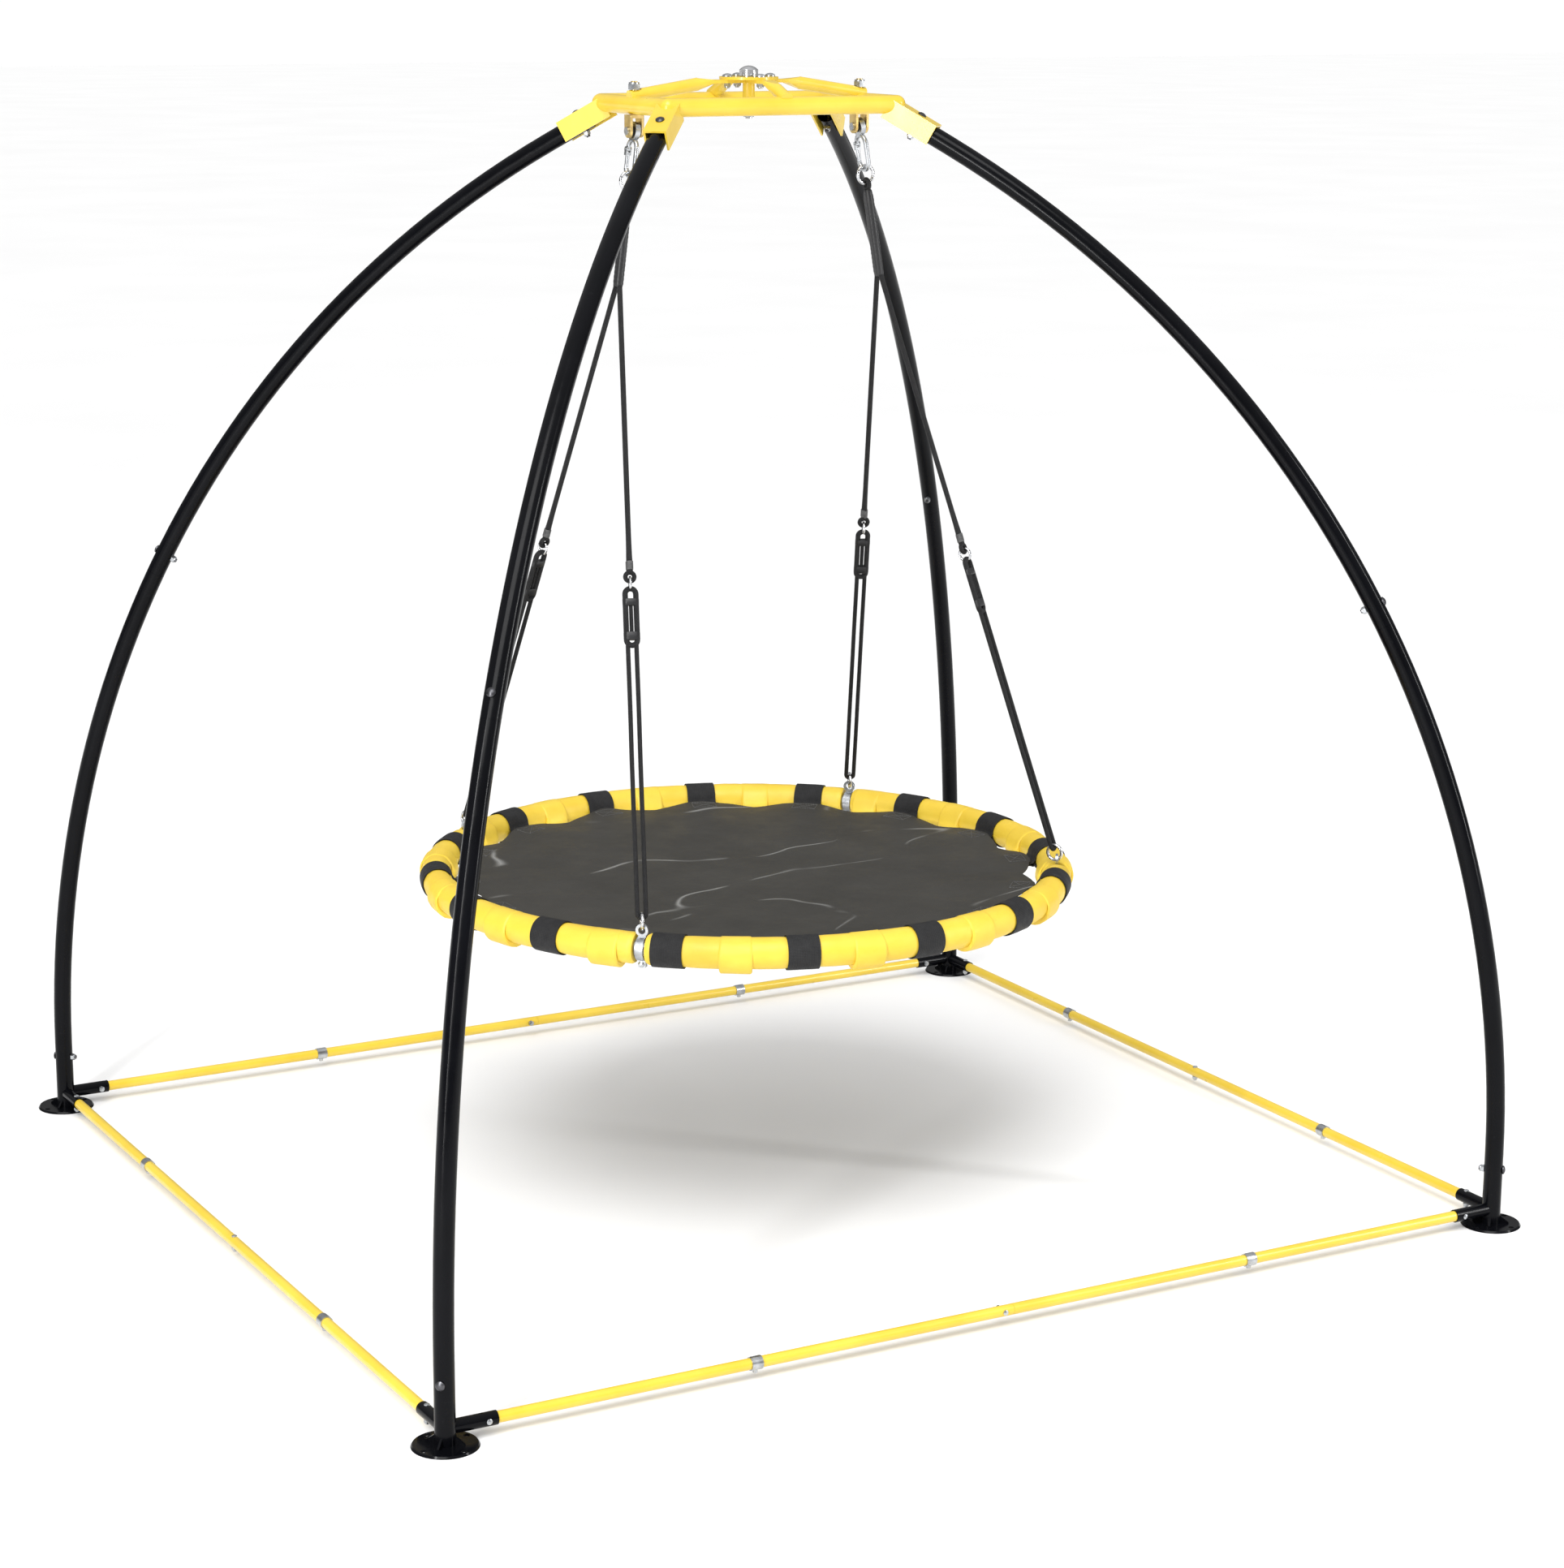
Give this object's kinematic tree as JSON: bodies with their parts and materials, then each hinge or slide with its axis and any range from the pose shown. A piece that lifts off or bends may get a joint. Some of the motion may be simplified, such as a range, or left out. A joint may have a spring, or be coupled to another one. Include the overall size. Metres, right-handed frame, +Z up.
{
  "type": "saucer swing with dome frame",
  "caption": "Round saucer swing on ropes, hung from a free-standing dome frame of bent tube legs with ground rails.",
  "frame": {"origin": "centre of the base, on the ground", "axes": "+Z up; +X along the line through the two hangers, which is the axis the swing turns about"},
  "size_m": [1.814, 1.652, 1.709],
  "materials": {
    "black_paint": "glossy powder coat",
    "yellow_paint": "glossy powder coat",
    "zinc": "zinc plated",
    "black_zinc": "black zinc plated",
    "chrome": "polished",
    "yellow_zinc": "yellow zinc plated",
    "black_plastic": "moulded",
    "rope": "braided",
    "yellow_foam": "closed-cell foam, smooth skin",
    "mat": "woven",
    "strap": "flat webbing"
  },
  "bodies": {
    "frame": {"foot_front": "black_paint", "foot_right": "black_paint", "foot_back": "black_paint", "foot_left": "black_paint", "lower_leg_front": "black_paint", "lower_leg_right": "black_paint", "lower_leg_back": "black_paint", "lower_leg_left": "black_paint", "upper_leg_front": "black_paint", "upper_leg_right": "black_paint", "upper_leg_back": "black_paint", "upper_leg_left": "black_paint", "rail_front_right_1": "yellow_paint", "rail_front_right_2": "yellow_paint", "rail_back_left_1": "yellow_paint", "rail_back_left_2": "yellow_paint", "rail_front_left_1": "yellow_paint", "rail_front_left_2": "yellow_paint", "rail_back_right_1": "yellow_paint", "rail_back_right_2": "yellow_paint", "rail_bands": "zinc", "rail_bolts": "zinc", "leg_bolts": "black_zinc", "frame_nuts": "zinc", "hub_ring": "yellow_paint", "hub_plate": "yellow_paint", "hub_plate_bolts": "zinc", "hub_centre_bolt": "chrome", "hanger_left": "yellow_zinc", "hanger_right": "yellow_zinc", "hanger_nuts": "zinc", "hanger_pins": "zinc"},
    "swing": {"hanger_bushings": "black_plastic", "snap_hook_left": "zinc", "snap_hook_right": "zinc", "gate_pins": "zinc", "top_rings": "chrome", "rope_sleeve_left": "rope", "rope_sleeve_right": "rope", "upper_rope_a": "rope", "upper_rope_b": "rope", "upper_rope_c": "rope", "upper_rope_d": "rope", "link_rings": "chrome", "rope_adjusters": "rope", "lower_rope_a": "rope", "lower_rope_b": "rope", "lower_rope_c": "rope", "lower_rope_d": "rope", "rim_rings": "chrome", "rim_clamps": "zinc", "rim_clamp_bolts": "zinc", "rim_tube_1": "zinc", "rim_tube_2": "zinc", "foam_sleeves": "yellow_foam", "foam_collars": "yellow_foam", "mat": "mat", "mat_straps": "strap"},
    "gate_left": {"gate_left": "zinc"},
    "gate_right": {"gate_right": "zinc"}
  },
  "joints": [
    {"name": "swing_hinge", "type": "hinge", "parent": "frame", "child": "swing", "pos_m": [0, 0, 1.617], "axis": [1, 0, 0], "range_deg": [-35, 35]},
    {"name": "gate_left_hinge", "type": "hinge", "parent": "swing", "child": "gate_left", "pos_m": [-0.19334, 0.0135, 1.59021], "axis": [-0.9923, 0, 0.1236], "range_deg": [0, 28], "stiffness_Nm_per_rad": 0.05},
    {"name": "gate_right_hinge", "type": "hinge", "parent": "swing", "child": "gate_right", "pos_m": [0.1945, 0.0135, 1.59038], "axis": [-0.986, 0, -0.1668], "range_deg": [0, 28], "stiffness_Nm_per_rad": 0.05}
  ]
}
